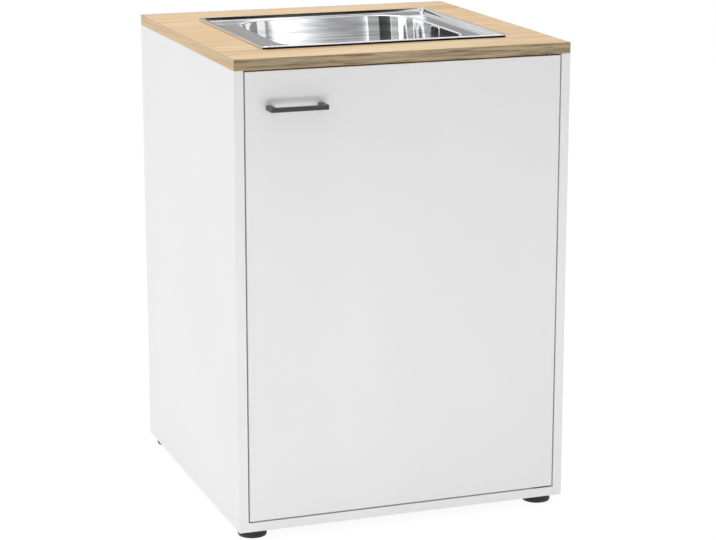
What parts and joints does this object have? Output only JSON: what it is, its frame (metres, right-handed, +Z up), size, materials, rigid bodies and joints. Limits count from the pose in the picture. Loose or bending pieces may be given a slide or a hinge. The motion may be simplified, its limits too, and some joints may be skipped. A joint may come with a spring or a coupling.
{
  "type": "sink base cabinet",
  "caption": "White frameless sink base cabinet with an inset door and bow handle, flush oak-look worktop, inset steel bowl, bottle trap and low levelling feet.",
  "frame": {"origin": "on the floor, in the middle of the bounding box of cabinet and handle", "axes": "+X to the right seen from the front, +Y to the wall behind the cabinet, +Z up"},
  "size_m": [0.6, 0.63, 0.8328],
  "materials": {
    "white_board": "white satin melamine on particle board",
    "door_white": "smooth white door front on particle board",
    "back_board": "thin white lacquered fibreboard",
    "oak_top": "light oak grained laminate, satin",
    "oak_edge": "darker oak edge band, satin",
    "stainless": "brushed stainless steel",
    "zinc": "bright zinc plated steel",
    "beech": "bare beech",
    "anthracite": "anthracite powder coat, fine satin",
    "black_plastic": "moulded black plastic, matt",
    "foam": "closed-cell foam seal",
    "gasket_rubber": "black rubber gasket",
    "waste_white": "white polypropylene",
    "hose_grey": "grey flexible plastic",
    "nylon": "natural nylon",
    "magnet": "dark ferrite"
  },
  "bodies": {
    "cabinet": {"left_side_panel": "white_board", "right_side_panel": "white_board", "bottom_panel": "white_board", "back_panel": "back_board", "front_rail": "white_board", "rear_rail": "white_board", "cam_locks": "zinc", "cam_bolts": "zinc", "wood_dowels": "beech", "worktop": "oak_top", "worktop_edge_band": "oak_edge", "worktop_brackets": "zinc", "bracket_screws": "zinc", "sink_seal": "foam", "sink": "stainless", "sink_clamps": "zinc", "clamp_screws": "zinc", "waste_flange": "stainless", "waste_gasket": "gasket_rubber", "waste_cup": "waste_white", "waste_nut": "waste_white", "overflow_plate": "stainless", "overflow_elbow": "hose_grey", "overflow_hose": "hose_grey", "trap_inlet_pipe": "waste_white", "trap_inlet_nut": "waste_white", "trap_body": "waste_white", "trap_cup": "waste_white", "trap_outlet_nut": "waste_white", "trap_outlet_pipe": "waste_white", "lower_pivot": "zinc", "upper_pivot": "zinc", "pivot_screws": "zinc", "magnetic_catches": "nylon", "catch_magnets": "magnet", "catch_screws": "zinc", "foot_sockets": "nylon"},
    "door": {"door_panel": "door_white", "door_edge_band": "door_white", "door_bushes": "black_plastic", "handle": "anthracite", "handle_screws": "zinc", "strike_plates": "zinc", "strike_screws": "zinc"},
    "strainer": {"basket_strainer": "stainless"},
    "front_left_foot": {"front_left_foot": "black_plastic"},
    "front_right_foot": {"front_right_foot": "black_plastic"},
    "rear_left_foot": {"rear_left_foot": "black_plastic"},
    "rear_right_foot": {"rear_right_foot": "black_plastic"}
  },
  "joints": [
    {"name": "door_swing", "type": "hinge", "parent": "cabinet", "child": "door", "pos_m": [0.264, -0.2785, 0.42], "axis": [0, 0, 1], "range_deg": [0, 110]},
    {"name": "strainer_lift", "type": "slide", "parent": "cabinet", "child": "strainer", "axis": [0, 0, 1], "range_m": [0, 0.01]},
    {"name": "front_left_foot_travel", "type": "slide", "parent": "cabinet", "child": "front_left_foot", "axis": [0, 0, -1], "range_m": [0, 0.008]},
    {"name": "front_right_foot_travel", "type": "slide", "parent": "cabinet", "child": "front_right_foot", "axis": [0, 0, -1], "range_m": [0, 0.008]},
    {"name": "rear_left_foot_travel", "type": "slide", "parent": "cabinet", "child": "rear_left_foot", "axis": [0, 0, -1], "range_m": [0, 0.008]},
    {"name": "rear_right_foot_travel", "type": "slide", "parent": "cabinet", "child": "rear_right_foot", "axis": [0, 0, -1], "range_m": [0, 0.008]}
  ]
}
